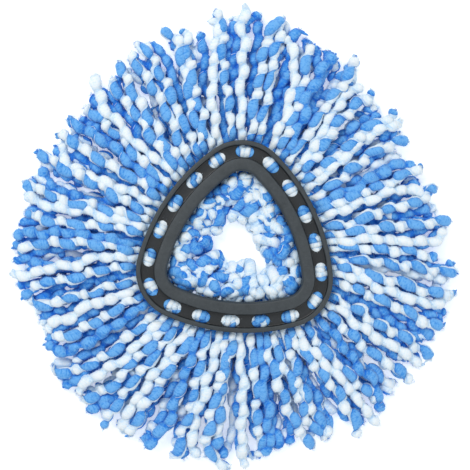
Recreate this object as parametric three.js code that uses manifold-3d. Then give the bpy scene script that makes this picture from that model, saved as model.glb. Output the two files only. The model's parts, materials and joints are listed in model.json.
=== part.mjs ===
// Refill head of a spin mop: two rounded-triangle rings that clamp 18 bundles of yarn.
// Each bundle bends round the inside edge of the lower ring as a short loop, and its ends
// fan outward. Millimetres, +Z up. The head lies on Z = 0 with one corner towards +Y.
import * as THREE from 'three';
import { mergeVertices } from 'three/addons/utils/BufferGeometryUtils.js';
import Module from 'manifold-3d';

const wasm = await Module();
wasm.setup();

const RAD = Math.PI / 180;

// The window line: the closed rounded triangle on which the window centres lie.
const CORNER_RADIUS = 27;
const CORNER_DISTANCE = 41.3;
const SIDE_HALF_ANGLE = 19.82;
const CORNER_HALF_ANGLE = 60 - SIDE_HALF_ANGLE;
const CENTRES_APART = CORNER_DISTANCE * Math.sin(60 * RAD) / Math.sin(SIDE_HALF_ANGLE * RAD);
const SIDE_RADIUS = CORNER_RADIUS + CENTRES_APART;
const SIDE_DISTANCE = CENTRES_APART * Math.cos(SIDE_HALF_ANGLE * RAD) - CORNER_DISTANCE / 2;
const RING_STEPS = 72;
const LATHE_RADIUS = 100;

// Heights, from the floor up.
const LOWER_RING_BOTTOM = 8.4;
const LOWER_RING_TOP = 11.4;
const CLAMP_TOP = 16.2;
const UPPER_RING_BOTTOM = 16.5;
const CHANNEL_FLOOR = 19.4;
const RIM_TOP = 22.6;
const FLANGE_TOP = 24.6;
const GAP = 0.3;

// Offsets from the window line, positive outward.
const OUTER_EDGE = 7.9;
const CHANNEL_OUTER = 4.6;
const CHANNEL_INNER = -5.3;
const INNER_EDGE = -14.2;
const LOWER_RING_OUTER = 6.0;
const LOWER_RING_INNER = -9.0;
const LOOP_NOSE = -22;
const LOOP_NOSE_LENGTH = 6;
const LOOP_NOSE_INSET = 1.8;
const LOOP_NOSE_TOP_SLOPE = 3;
const LOOP_NOSE_BOTTOM_SLOPE = 2.4;
const FLANGE_BEVEL = 1.5;
const EDGE_ROUND = 0.6;

// Windows and clamp posts.
const WINDOWS = 18;
const WINDOW_LENGTH = 13;
const WINDOW_WIDTH = 8.6;
const WINDOW_CHAMFER = 0.7;
const WINDOW_SEGMENTS = 5;
const POST_WIDTH = 5;
const POST_OUTER = 3.6;
const POST_INNER = -5.6;
const POST_SINK = 1;
const POST_CLEARANCE = 0.4;
const CUTTER_MARGIN = 1;

// Yarn bundles. Each keeps to its own sector of the circle, so that no two can meet.
const SECTOR = 360 / WINDOWS;
const YARN_RADIUS = 165;
const CENTRE_OPENING_RADIUS = 13;
const TUFT_BOTTOM = 1.2;
const TUFT_TOP = 15.2;
const TUFT_CHAMFER = 3;
const TUFT_OUTER_OFFSET = -14;
const RUN_END = 7.2;
const ROOT_RADIUS = 6.5;
const HINGE_HEIGHT = 7;
const ROOT_CLEARANCE = 0.7;
const FAN_SHOULDER = 14;
const FAN_SHOULDER_HEIGHT = 20;
const FAN_TIP_HEIGHT = 10;
const FAN_TIP_CHAMFER = 3;
const FAN_TOE = 2;
const FAN_ARC_POINTS = 4;
const ROOT_ARC_POINTS = 6;
const DROOP_LIMIT = 60;

const RING_COLOUR = 0x3a3b3b;
const YARN_BLUE = 0x4a90e2;
const YARN_WHITE = 0xf0f0f3;
const UPPER_RING_ROUGHNESS = 0.5;
const LOWER_RING_ROUGHNESS = 0.6;
const YARN_ROUGHNESS = 0.95;

// Directions and points in plan.

function unit(degrees) {
  return new THREE.Vector2(Math.cos(degrees * RAD), Math.sin(degrees * RAD));
}

// Degrees from the nearest corner's direction, between -60 and 60.
function fromCorner(degrees) {
  const turn = ((degrees - 90) % 120 + 120) % 120;
  return turn > 60 ? turn - 120 : turn;
}

// The arc, corner or side, whose outward normal points along the given direction.
function arcFacing(degrees) {
  const turn = fromCorner(degrees);
  if (Math.abs(turn) <= CORNER_HALF_ANGLE) {
    return { centre: unit(degrees - turn).multiplyScalar(CORNER_DISTANCE), radius: CORNER_RADIUS };
  }
  const side = degrees - turn + 60 * Math.sign(turn);
  return { centre: unit(side).multiplyScalar(-SIDE_DISTANCE), radius: SIDE_RADIUS };
}

// The point of the offset window line whose outward normal points along the given direction.
function linePoint(degrees, offset) {
  const arc = arcFacing(degrees);
  return unit(degrees).multiplyScalar(arc.radius + offset).add(arc.centre);
}

// The direction of the outward normal after a given length along the window line from a corner.
function normalAfter(length) {
  const cornerLength = CORNER_RADIUS * CORNER_HALF_ANGLE * RAD;
  const sideLength = 2 * SIDE_RADIUS * SIDE_HALF_ANGLE * RAD;
  const third = 2 * cornerLength + sideLength;
  const whole = Math.floor(length / third);
  const rest = length - whole * third;
  const start = 90 - 120 * whole;
  if (rest <= cornerLength) {
    return start - rest / CORNER_RADIUS / RAD;
  }
  if (rest <= cornerLength + sideLength) {
    return start - CORNER_HALF_ANGLE - (rest - cornerLength) / SIDE_RADIUS / RAD;
  }
  return start - 120 + (third - rest) / CORNER_RADIUS / RAD;
}

function windowLineLength() {
  return 6 * (CORNER_RADIUS * CORNER_HALF_ANGLE + SIDE_RADIUS * SIDE_HALF_ANGLE) * RAD;
}

// How far out along a ray from the centre the offset window line is met.
function rayDistance(degrees, offset) {
  const ray = unit(degrees);
  const turn = fromCorner(degrees);
  const corner = degrees - turn;
  const junction = linePoint(90 + CORNER_HALF_ANGLE, offset);
  const onCorner = Math.abs(turn) <= junction.angle() / RAD - 90;
  const side = corner + 60 * Math.sign(turn);
  const centre = onCorner
    ? unit(corner).multiplyScalar(CORNER_DISTANCE)
    : unit(side).multiplyScalar(-SIDE_DISTANCE);
  const radius = (onCorner ? CORNER_RADIUS : SIDE_RADIUS) + offset;
  const along = centre.dot(ray);
  return along + Math.sqrt(radius * radius - centre.lengthSq() + along * along);
}

// Solids.

function toManifold(geometry) {
  const bare = geometry.index ? geometry.toNonIndexed() : geometry.clone();
  bare.deleteAttribute('normal');
  bare.deleteAttribute('uv');
  const merged = mergeVertices(bare, 1e-4);
  return new wasm.Manifold(new wasm.Mesh({
    numProp: 3,
    vertProperties: new Float32Array(merged.attributes.position.array),
    triVerts: new Uint32Array(merged.index.array),
  }));
}

function toGeometry(solid) {
  const mesh = solid.getMesh();
  const geometry = new THREE.BufferGeometry();
  geometry.setAttribute('position', new THREE.BufferAttribute(new Float32Array(mesh.vertProperties), 3));
  geometry.setIndex(new THREE.BufferAttribute(new Uint32Array(mesh.triVerts), 1));
  geometry.computeVertexNormals();
  return geometry;
}

// A closed section of [offset, height] points, counter-clockwise, carried round the window line.
// It is turned as a lathe first, and each vertex then moves from the circle to the triangle.
function sweepSection(section) {
  const points = section.map(([offset, height]) => new THREE.Vector2(LATHE_RADIUS + offset, height));
  points.push(points[0].clone());
  const geometry = new THREE.LatheGeometry(points, RING_STEPS);
  const position = geometry.attributes.position;
  for (let i = 0; i < position.count; i += 1) {
    const x = position.getX(i);
    const z = position.getZ(i);
    const degrees = Math.round(Math.atan2(z, x) / RAD * 1000) / 1000;
    const place = linePoint(degrees, Math.hypot(x, z) - LATHE_RADIUS);
    position.setXYZ(i, place.x, place.y, position.getY(i));
  }
  return outward(geometry);
}

// The solid of a geometry whose faces may point inward: they are turned over if they do.
function outward(geometry) {
  const flat = geometry.index ? geometry.toNonIndexed() : geometry;
  const p = flat.attributes.position;
  const a = new THREE.Vector3();
  const b = new THREE.Vector3();
  const c = new THREE.Vector3();
  let volume = 0;
  for (let i = 0; i < p.count; i += 3) {
    a.fromBufferAttribute(p, i);
    b.fromBufferAttribute(p, i + 1);
    c.fromBufferAttribute(p, i + 2);
    volume += a.dot(b.cross(c));
  }
  if (volume < 0) {
    for (let i = 0; i < p.count; i += 3) {
      b.fromBufferAttribute(p, i + 1);
      c.fromBufferAttribute(p, i + 2);
      p.setXYZ(i + 1, c.x, c.y, c.z);
      p.setXYZ(i + 2, b.x, b.y, b.z);
    }
  }
  return toManifold(flat);
}

// A plan outline of Vector2 points, extruded from one height to another.
function prism(outline, bottom, top) {
  const geometry = new THREE.ExtrudeGeometry(new THREE.Shape(outline), {
    depth: top - bottom,
    bevelEnabled: false,
  });
  geometry.translate(0, 0, bottom);
  return toManifold(geometry);
}

// A block whose length runs out along a ray from the centre.
function radialBlock(degrees, from, to, width, bottom, top) {
  const geometry = new THREE.BoxGeometry(to - from, width, top - bottom);
  geometry.translate((from + to) / 2, 0, (bottom + top) / 2);
  geometry.rotateZ(degrees * RAD);
  return toManifold(geometry);
}

// Rings.

function upperRingSection() {
  return [
    [INNER_EDGE, UPPER_RING_BOTTOM + EDGE_ROUND],
    [INNER_EDGE + EDGE_ROUND, UPPER_RING_BOTTOM],
    [OUTER_EDGE - EDGE_ROUND, UPPER_RING_BOTTOM],
    [OUTER_EDGE, UPPER_RING_BOTTOM + EDGE_ROUND],
    [OUTER_EDGE, RIM_TOP - EDGE_ROUND],
    [OUTER_EDGE - EDGE_ROUND, RIM_TOP],
    [CHANNEL_OUTER + EDGE_ROUND, RIM_TOP],
    [CHANNEL_OUTER, RIM_TOP - EDGE_ROUND],
    [CHANNEL_OUTER - EDGE_ROUND / 2, CHANNEL_FLOOR],
    [CHANNEL_INNER + EDGE_ROUND / 2, CHANNEL_FLOOR],
    [CHANNEL_INNER, FLANGE_TOP - EDGE_ROUND],
    [CHANNEL_INNER - EDGE_ROUND, FLANGE_TOP],
    [INNER_EDGE + FLANGE_BEVEL, FLANGE_TOP],
    [INNER_EDGE, FLANGE_TOP - FLANGE_BEVEL],
  ];
}

function windowCutter(index) {
  const normal = normalAfter(index * windowLineLength() / WINDOWS);
  const half = (WINDOW_LENGTH - WINDOW_WIDTH) / 2;
  const radius = WINDOW_WIDTH / 2;
  const shape = new THREE.Shape();
  shape.absarc(0, half, radius, 0, Math.PI, false);
  shape.absarc(0, -half, radius, Math.PI, 2 * Math.PI, false);
  const geometry = new THREE.ExtrudeGeometry(shape, {
    depth: CHANNEL_FLOOR - UPPER_RING_BOTTOM + 2 * CUTTER_MARGIN,
    curveSegments: WINDOW_SEGMENTS,
    bevelEnabled: false,
  });
  geometry.translate(0, 0, UPPER_RING_BOTTOM - CUTTER_MARGIN);
  const sink = new THREE.ExtrudeGeometry(shape, {
    depth: CUTTER_MARGIN,
    curveSegments: WINDOW_SEGMENTS,
    bevelThickness: WINDOW_CHAMFER,
    bevelSize: WINDOW_CHAMFER,
    bevelSegments: 1,
  });
  sink.translate(0, 0, CHANNEL_FLOOR);
  const place = linePoint(normal, 0);
  const cutter = toManifold(geometry).add(toManifold(sink));
  return cutter.rotate([0, 0, normal]).translate([place.x, place.y, 0]);
}

function upperRing() {
  let solid = sweepSection(upperRingSection());
  for (let i = 0; i < WINDOWS; i += 1) {
    solid = solid.subtract(windowCutter(i));
  }
  return solid;
}

function lowerRingSection() {
  return [
    [LOWER_RING_INNER, LOWER_RING_BOTTOM + EDGE_ROUND],
    [LOWER_RING_INNER + EDGE_ROUND, LOWER_RING_BOTTOM],
    [LOWER_RING_OUTER - EDGE_ROUND, LOWER_RING_BOTTOM],
    [LOWER_RING_OUTER, LOWER_RING_BOTTOM + EDGE_ROUND],
    [LOWER_RING_OUTER, LOWER_RING_TOP - EDGE_ROUND],
    [LOWER_RING_OUTER - EDGE_ROUND, LOWER_RING_TOP],
    [LOWER_RING_INNER + EDGE_ROUND, LOWER_RING_TOP],
    [LOWER_RING_INNER, LOWER_RING_TOP - EDGE_ROUND],
  ];
}

function postBetween(degrees, grow) {
  return radialBlock(
    degrees,
    rayDistance(degrees, POST_INNER) - grow,
    rayDistance(degrees, POST_OUTER) + grow,
    POST_WIDTH + 2 * grow,
    LOWER_RING_TOP - POST_SINK,
    CLAMP_TOP + grow,
  );
}

function lowerRing() {
  let solid = sweepSection(lowerRingSection());
  for (let i = 0; i < WINDOWS; i += 1) {
    solid = solid.add(postBetween(90 - SECTOR * (i + 0.5), 0));
  }
  return solid;
}

// Yarn.

// The section of a bundle wrapped round the lower ring: top run, inner loop, bottom run.
function loopSection() {
  return [
    [RUN_END, 0],
    [RUN_END, LOWER_RING_BOTTOM - GAP],
    [LOWER_RING_INNER - GAP, LOWER_RING_BOTTOM - GAP],
    [LOWER_RING_INNER - GAP, LOWER_RING_TOP + GAP],
    [RUN_END, LOWER_RING_TOP + GAP],
    [RUN_END, CLAMP_TOP],
    [LOOP_NOSE + LOOP_NOSE_LENGTH, CLAMP_TOP],
    [LOOP_NOSE + LOOP_NOSE_INSET, CLAMP_TOP - LOOP_NOSE_TOP_SLOPE],
    [LOOP_NOSE, CLAMP_TOP / 2],
    [LOOP_NOSE + LOOP_NOSE_INSET, LOOP_NOSE_BOTTOM_SLOPE],
    [LOOP_NOSE + LOOP_NOSE_LENGTH, 0],
  ];
}

// A bundle's sector between two distances from the centre, kept clear of its neighbours.
function sectorPrism(degrees, from, to, bottom, top) {
  const half = SECTOR / 2 - GAP / from / RAD;
  const near = from / Math.cos(half * RAD);
  const far = to / Math.cos(half * RAD);
  return prism([
    unit(degrees - half).multiplyScalar(near),
    unit(degrees - half).multiplyScalar(far),
    unit(degrees + half).multiplyScalar(far),
    unit(degrees + half).multiplyScalar(near),
  ], bottom, top);
}

// The short loops inside the ring, from the centre opening out to the wrapped bundle.
function innerTuft(degrees) {
  const outer = rayDistance(degrees, TUFT_OUTER_OFFSET);
  const profile = [
    new THREE.Vector2(CENTRE_OPENING_RADIUS, TUFT_BOTTOM + TUFT_CHAMFER),
    new THREE.Vector2(CENTRE_OPENING_RADIUS + TUFT_CHAMFER, TUFT_BOTTOM),
    new THREE.Vector2(outer, TUFT_BOTTOM),
    new THREE.Vector2(outer, TUFT_TOP),
    new THREE.Vector2(CENTRE_OPENING_RADIUS + TUFT_CHAMFER, TUFT_TOP),
    new THREE.Vector2(CENTRE_OPENING_RADIUS, TUFT_TOP - TUFT_CHAMFER),
  ];
  return sideSolid(profile, degrees, 2 * outer * Math.tan(SECTOR / 2 * RAD))
    .intersect(sectorPrism(degrees, CENTRE_OPENING_RADIUS, outer, 0, CLAMP_TOP));
}

// A side profile of [distance, height] points, given a width across a ray from the centre.
function sideSolid(profile, degrees, width) {
  const geometry = new THREE.ExtrudeGeometry(new THREE.Shape(profile), {
    depth: width,
    bevelEnabled: false,
  });
  geometry.translate(0, 0, -width / 2);
  geometry.rotateX(Math.PI / 2);
  geometry.rotateZ(degrees * RAD);
  return toManifold(geometry);
}

function yarnLoop(degrees, wrap) {
  const sector = sectorPrism(
    degrees,
    CENTRE_OPENING_RADIUS,
    YARN_RADIUS,
    -CUTTER_MARGIN,
    CLAMP_TOP + CUTTER_MARGIN,
  );
  return wrap
    .intersect(sector)
    .add(innerTuft(degrees))
    .subtract(postBetween(degrees - SECTOR / 2, POST_CLEARANCE))
    .subtract(postBetween(degrees + SECTOR / 2, POST_CLEARANCE));
}

// How far from the centre a fan's bending axis lies: its round root just clears the rim.
function hingeDistance(degrees) {
  let reach = 0;
  for (let turn = -SECTOR / 2; turn <= SECTOR / 2; turn += 1) {
    const rim = rayDistance(degrees + turn, OUTER_EDGE) * Math.cos(turn * RAD);
    reach = Math.max(reach, rim);
  }
  return reach + ROOT_RADIUS + ROOT_CLEARANCE;
}

// The loose ends of a bundle, spread over the floor. The plan widens slowly enough that the
// fan stays inside its sector when it droops to its limit.
function yarnFan(degrees) {
  const hinge = hingeDistance(degrees);
  const tip = YARN_RADIUS;
  const slope = Math.tan(SECTOR / 2 * RAD) * Math.cos(DROOP_LIMIT * RAD);
  const rootHalf = (hinge - HINGE_HEIGHT) * Math.tan(SECTOR / 2 * RAD) - GAP;
  const halfWidth = (distance) => rootHalf + slope * (distance - hinge);

  const side = new THREE.Shape();
  side.absarc(hinge, HINGE_HEIGHT, ROOT_RADIUS, 1.5 * Math.PI, 0.5 * Math.PI, true);
  side.lineTo(hinge + FAN_SHOULDER, FAN_SHOULDER_HEIGHT);
  side.lineTo(tip - FAN_TIP_CHAMFER, FAN_TIP_HEIGHT);
  side.lineTo(tip, FAN_TIP_HEIGHT - FAN_TIP_CHAMFER);
  side.lineTo(tip, FAN_TOE);
  side.lineTo(tip - FAN_TOE, 0);
  side.lineTo(hinge + ROOT_RADIUS, 0);

  const plan = new THREE.Shape();
  const from = hinge - ROOT_RADIUS - CUTTER_MARGIN;
  const tipHalf = halfWidth(tip);
  const tipAngle = Math.asin(tipHalf / tip);
  plan.moveTo(from, -halfWidth(from));
  plan.lineTo(tip * Math.cos(tipAngle), -tipHalf);
  plan.absarc(0, 0, tip, -tipAngle, tipAngle, false);
  plan.lineTo(from, halfWidth(from));
  const centre = new THREE.Vector2();
  const outline = plan.getPoints(FAN_ARC_POINTS).map((point) => point.rotateAround(centre, degrees * RAD));

  return sideSolid(side.getPoints(ROOT_ARC_POINTS), degrees, 2 * (tipHalf + CUTTER_MARGIN))
    .intersect(prism(outline, -CUTTER_MARGIN, FAN_SHOULDER_HEIGHT + CUTTER_MARGIN));
}

// Assembly.

const head = new THREE.Group();
head.name = 'spin_mop_refill';

function addPiece(name, solid, colour, roughness) {
  const material = new THREE.MeshStandardMaterial({ color: colour, roughness, metalness: 0 });
  const mesh = new THREE.Mesh(toGeometry(solid), material);
  mesh.name = name;
  head.add(mesh);
}

addPiece('upper_ring', upperRing(), RING_COLOUR, UPPER_RING_ROUGHNESS);
addPiece('lower_ring', lowerRing(), RING_COLOUR, LOWER_RING_ROUGHNESS);

const wrap = sweepSection(loopSection());
for (let i = 0; i < WINDOWS; i += 1) {
  const number = String(i + 1).padStart(2, '0');
  const degrees = 90 - SECTOR * i;
  addPiece(`yarn_loop_${number}`, yarnLoop(degrees, wrap), YARN_WHITE, YARN_ROUGHNESS);
  addPiece(`yarn_fan_${number}`, yarnFan(degrees), YARN_BLUE, YARN_ROUGHNESS);
}

export default head;
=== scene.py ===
import json
import math

import bmesh
import bpy
import numpy as np
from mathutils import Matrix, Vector


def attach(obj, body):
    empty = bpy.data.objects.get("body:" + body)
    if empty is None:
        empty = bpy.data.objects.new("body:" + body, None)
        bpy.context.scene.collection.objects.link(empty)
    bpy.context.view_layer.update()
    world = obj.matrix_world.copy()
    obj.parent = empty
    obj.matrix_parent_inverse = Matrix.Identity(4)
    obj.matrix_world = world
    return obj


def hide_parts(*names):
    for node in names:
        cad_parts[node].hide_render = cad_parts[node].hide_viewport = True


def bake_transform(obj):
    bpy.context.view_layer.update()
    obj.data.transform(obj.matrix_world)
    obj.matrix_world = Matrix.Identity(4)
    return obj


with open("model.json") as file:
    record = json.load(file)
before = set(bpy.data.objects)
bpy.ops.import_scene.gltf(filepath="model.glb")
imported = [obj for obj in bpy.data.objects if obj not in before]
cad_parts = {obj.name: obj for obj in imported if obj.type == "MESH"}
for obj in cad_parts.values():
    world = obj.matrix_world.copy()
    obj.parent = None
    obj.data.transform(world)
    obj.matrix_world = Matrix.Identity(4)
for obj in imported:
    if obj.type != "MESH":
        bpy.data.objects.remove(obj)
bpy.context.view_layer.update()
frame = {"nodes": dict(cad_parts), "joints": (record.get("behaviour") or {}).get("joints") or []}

# A spin mop refill head: two moulded rounded-triangle rings that clamp 18 bundles of
# twisted two-ply microfibre yarn. Metres, +Z up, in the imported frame.

MM = 0.001
BUNDLES = 18
SECTOR = 360 / BUNDLES
rng = np.random.default_rng(20240)

# The window line, the closed rounded triangle on which the window centres lie.
CORNER_RADIUS = 27 * MM
CORNER_DISTANCE = 41.3 * MM
SIDE_HALF_ANGLE = 19.82
CORNER_HALF_ANGLE = 60 - SIDE_HALF_ANGLE
TOP_CORNER = 90


def sin(degrees):
    return math.sin(math.radians(degrees))


def cos(degrees):
    return math.cos(math.radians(degrees))


CENTRES_APART = CORNER_DISTANCE * sin(60) / sin(SIDE_HALF_ANGLE)
SIDE_RADIUS = CORNER_RADIUS + CENTRES_APART
SIDE_DISTANCE = CENTRES_APART * cos(SIDE_HALF_ANGLE) - CORNER_DISTANCE / 2
CORNER_LENGTH = CORNER_RADIUS * math.radians(CORNER_HALF_ANGLE)
SIDE_LENGTH = 2 * SIDE_RADIUS * math.radians(SIDE_HALF_ANGLE)
THIRD_LENGTH = 2 * CORNER_LENGTH + SIDE_LENGTH


def unit(degrees):
    """A level unit vector, counted in degrees anticlockwise from +X."""
    return np.array([cos(degrees), sin(degrees)])


def from_corner(degrees):
    """Degrees anticlockwise from the nearest corner's direction."""
    turn = (degrees - TOP_CORNER) % 120
    return turn - 120 if turn > 60 else turn


def line_point(degrees, offset):
    """The point of the offset window line whose outward normal points along degrees."""
    turn = from_corner(degrees)
    if abs(turn) <= CORNER_HALF_ANGLE:
        centre = unit(degrees - turn) * CORNER_DISTANCE
        return centre + unit(degrees) * (CORNER_RADIUS + offset)
    side = degrees - turn + math.copysign(60, turn)
    return unit(degrees) * (SIDE_RADIUS + offset) - unit(side) * SIDE_DISTANCE


def normal_at(place):
    """Degrees of the outward normal at a place on the window line, counted in windows."""
    length = place / BUNDLES * 3 * THIRD_LENGTH
    whole = math.floor(length / THIRD_LENGTH)
    rest = length - whole * THIRD_LENGTH
    start = TOP_CORNER - 120 * whole
    if rest <= CORNER_LENGTH:
        return start - math.degrees(rest / CORNER_RADIUS)
    if rest <= CORNER_LENGTH + SIDE_LENGTH:
        return start - CORNER_HALF_ANGLE - math.degrees((rest - CORNER_LENGTH) / SIDE_RADIUS)
    return start - 120 + math.degrees((THIRD_LENGTH - rest) / CORNER_RADIUS)


def ring_point(place, offset):
    """The point of the offset window line at a place, counted in windows."""
    return line_point(normal_at(place), offset)


def fan_direction(place):
    """Degrees of the direction in which the yarn of a place lies once it has spread."""
    return TOP_CORNER - SECTOR * place


# Camera, straight above, turned so that the head lies a little clockwise.

HEAD_TURN = 4.8
VIEW_WIDTH = 338.4 * MM
AIM = (-2.0 * MM, 7.9 * MM)
LENS = 120
SENSOR = 36
YARN_LEVEL = 15 * MM


def make_camera():
    data = bpy.data.cameras.new("camera")
    data.lens = LENS
    data.sensor_width = SENSOR
    data.clip_start = 10 * MM
    camera = bpy.data.objects.new("camera", data)
    camera.location = (*AIM, YARN_LEVEL + VIEW_WIDTH * LENS / SENSOR)
    camera.rotation_euler = (0, 0, math.radians(HEAD_TURN))
    bpy.context.scene.collection.objects.link(camera)
    bpy.context.scene.camera = camera


make_camera()

# Materials.


class Nodes:
    """Short calls for building one material's node tree."""

    def __init__(self, name):
        self.material = bpy.data.materials.new(name)
        self.material.use_nodes = True
        self.tree = self.material.node_tree
        self.shader = self.tree.nodes["Principled BSDF"]

    def add(self, kind, **settings):
        """A new node. A setting is one of its properties or else one of its inputs."""
        node = self.tree.nodes.new(kind)
        for key, value in settings.items():
            if hasattr(node, key):
                setattr(node, key, value)
            else:
                node.inputs[key].default_value = value
        return node

    def join(self, source, target):
        self.tree.links.new(source, target)

    def noise(self, vector, scale, detail, roughness):
        node = self.add("ShaderNodeTexNoise", Scale=scale, Detail=detail, Roughness=roughness)
        self.join(vector, node.inputs["Vector"])
        return node.outputs["Fac"]

    def ramp(self, factor, stops):
        """A colour ramp with (position, colour) stops."""
        node = self.add("ShaderNodeValToRGB")
        elements = node.color_ramp.elements
        while len(elements) < len(stops):
            elements.new(0.5)
        for element, (position, colour) in zip(elements, stops):
            element.position = position
            element.color = (*colour, 1)
        self.join(factor, node.inputs["Fac"])
        return node.outputs["Color"]

    def mix(self, factor, a, b, blend="MIX"):
        node = self.add("ShaderNodeMix", data_type="RGBA", blend_type=blend)
        if isinstance(factor, (int, float)):
            node.inputs[0].default_value = factor
        else:
            self.join(factor, node.inputs[0])
        self.join(a, node.inputs[6])
        self.join(b, node.inputs[7])
        return node.outputs[2]

    def math(self, operation, a, b):
        node = self.add("ShaderNodeMath", operation=operation)
        for socket, value in zip(node.inputs, (a, b)):
            if isinstance(value, (int, float)):
                socket.default_value = value
            else:
                self.join(value, socket)
        return node.outputs["Value"]

    def stretched(self, vector, scale):
        node = self.add("ShaderNodeMapping", Scale=scale)
        self.join(vector, node.inputs["Vector"])
        return node.outputs["Vector"]

    def smooth(self, value, low, high, at_low, at_high):
        """A smooth step from at_low to at_high as the value goes from low to high."""
        ends = {"From Min": low, "From Max": high, "To Min": at_low, "To Max": at_high}
        node = self.add("ShaderNodeMapRange", interpolation_type="SMOOTHSTEP", **ends)
        self.join(value, node.inputs["Value"])
        return node.outputs["Result"]

    def openness(self, distance, low, high, at_low, at_high):
        """How open to the light a place is, from at_low in a hollow to at_high outside it."""
        node = self.add("ShaderNodeAmbientOcclusion", samples=6, Distance=distance)
        return self.smooth(node.outputs["AO"], low, high, at_low, at_high)

    def weighted(self, layers, less):
        """The sum of several (value, weight) layers, less a number."""
        total = -less
        for value, weight in layers:
            total = self.math("ADD", self.math("MULTIPLY", value, weight), total)
        return total

    def bump(self, layers):
        """Bump from several (height, strength, distance) layers, one over the other."""
        normal = None
        for height, strength, distance in layers:
            node = self.add("ShaderNodeBump", Strength=strength, Distance=distance)
            self.join(height, node.inputs["Height"])
            if normal is not None:
                self.join(normal, node.inputs["Normal"])
            normal = node.outputs["Normal"]
        self.join(normal, self.shader.inputs["Normal"])

    def set(self, **values):
        for key, value in values.items():
            self.shader.inputs[key.replace("_", " ")].default_value = value


# Where a ramp of three colours has them: in a crease, half way up, and on a crown. The crease
# colour is painted shade and the crown colour painted light.
CREASE_TO_CROWN = (0.10, 0.52, 0.98)
# How ragged and how soft the edge of the blue ply is, and the crease along it, in mm.
RAGGED = 1.6
SOFT_EDGE = 0.22
CREASE_WIDTH = 1.1
# Hollows of about this size are in shade.
YARN_HOLLOW = 7 * MM
CHANNEL_HOLLOW = 6 * MM
# Below this height lies the channel, painted darker as painted shade and glossier; above it lie
# the rougher raised faces.
RECESS_SHADE_FROM = 20.0 * MM
RECESS_SHADE_TO = 22.0 * MM
RAISED_ROUGHNESS = 0.16
# How much lighter the channel is in its lightest places.
RECESS_CHANGE = 1.6


def yarn_material(blues, whites, sheen):
    """Microfibre ply, blue where the blue attribute is positive and white elsewhere. That
    attribute is the distance to the edge of the blue ply in millimetres. The shade attribute is
    painted shade, low in creases, at pinches and on the sides of lobes and high on crowns; in
    creases and pinches it also stands for the pile pressed together there."""
    n = Nodes("yarn")
    uv = n.add("ShaderNodeUVMap", uv_map="fibre").outputs["UV"]
    place = n.add("ShaderNodeTexCoord").outputs["Object"]
    rows = n.noise(n.stretched(uv, (700, 6, 1)), scale=1, detail=2, roughness=0.5)
    combed = n.noise(n.stretched(uv, (1500, 9, 1)), scale=1, detail=2, roughness=0.6)
    clumps = n.noise(place, scale=620, detail=2, roughness=0.5)
    pile = n.noise(place, scale=3200, detail=2, roughness=0.6)
    shade = n.add("ShaderNodeAttribute", attribute_name="shade").outputs["Fac"]
    inside = n.add("ShaderNodeAttribute", attribute_name="blue").outputs["Fac"]
    grain = n.weighted([(rows, 1.3), (combed, 1.5), (clumps, 1.1), (pile, 0.9)], less=2.45)
    # Painted shade: ambient occlusion and the shade attribute pick darker colours from the ramps
    # in hollows, creases and pinches.
    lit = n.openness(YARN_HOLLOW, low=0.15, high=0.70, at_low=0.30, at_high=1)
    level = n.math("MULTIPLY", n.math("ADD", shade, grain), lit)
    white = n.ramp(level, list(zip(CREASE_TO_CROWN, whites)))
    blue = n.ramp(level, list(zip(CREASE_TO_CROWN, blues)))
    ragged = n.weighted([(rows, RAGGED), (inside, 1)], less=0.5 * RAGGED)
    is_blue = n.smooth(ragged, low=-SOFT_EDGE, high=SOFT_EDGE, at_low=0, at_high=1)
    n.join(n.mix(is_blue, white, blue), n.shader.inputs["Base Color"])
    n.set(Roughness=0.9, Specular_IOR_Level=0.12, Sheen_Weight=sheen, Sheen_Roughness=0.5)
    from_edge = n.math("ABSOLUTE", inside, 0.0)
    crease = n.smooth(from_edge, low=0, high=CREASE_WIDTH, at_low=0, at_high=1)
    n.bump([
        (crease, 0.6, 0.50 * MM), (clumps, 0.4, 0.40 * MM), (rows, 0.6, 0.40 * MM),
        (combed, 0.8, 0.25 * MM), (pile, 0.6, 0.15 * MM),
    ])
    return n.material


def plastic_material(name, recess_shade, dark, light, dust, roughness):
    """Moulded plastic: fine spark-eroded grain, faint flow streaks, dust and scuffs. The
    recessed channel is painted darker as painted shade, most of all along its walls, and it is
    smoother than the raised faces."""
    n = Nodes(name)
    place = n.add("ShaderNodeTexCoord").outputs["Object"]
    grain = n.noise(place, scale=2600, detail=2, roughness=0.6)
    cloud = n.noise(place, scale=90, detail=4, roughness=0.6)
    scuffs = n.noise(place, scale=700, detail=4, roughness=0.75)
    flow = n.noise(n.stretched(place, (1, 1, 8)), scale=420, detail=3, roughness=0.7)
    split = n.add("ShaderNodeSeparateXYZ")
    n.join(place, split.inputs["Vector"])
    # Painted shade: below this height the channel takes the darker recess colour.
    above_recess_shade = n.smooth(split.outputs["Z"], RECESS_SHADE_FROM, RECESS_SHADE_TO, at_low=0, at_high=1)
    faces = n.ramp(n.mix(0.5, cloud, flow), [(0.35, dark), (0.70, light)])
    # Painted shade: the recess colour, darkened further by ambient occlusion along the channel
    # walls.
    clouded = tuple(channel * RECESS_CHANGE for channel in recess_shade)
    deep = n.ramp(cloud, [(0.30, recess_shade), (0.75, clouded)])
    lit = n.openness(CHANNEL_HOLLOW, low=0.50, high=0.88, at_low=0, at_high=1.15)
    deep = n.mix(1.0, deep, lit, "MULTIPLY")
    worn = n.ramp(scuffs, [(0.60, (0, 0, 0)), (0.78, dust)])
    colour = n.mix(1.0, n.mix(above_recess_shade, deep, faces), worn, "ADD")
    n.join(colour, n.shader.inputs["Base Color"])
    gloss = n.weighted(
        [(cloud, 0.2), (above_recess_shade, RAISED_ROUGHNESS)], less=RAISED_ROUGHNESS - roughness
    )
    n.join(gloss, n.shader.inputs["Roughness"])
    n.set(Specular_IOR_Level=0.5)
    n.bump([(flow, 0.12, 0.30 * MM), (grain, 0.25, 0.06 * MM)])
    return n.material


# Each ramp runs from painted shade in creases to painted light on crowns.
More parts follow.
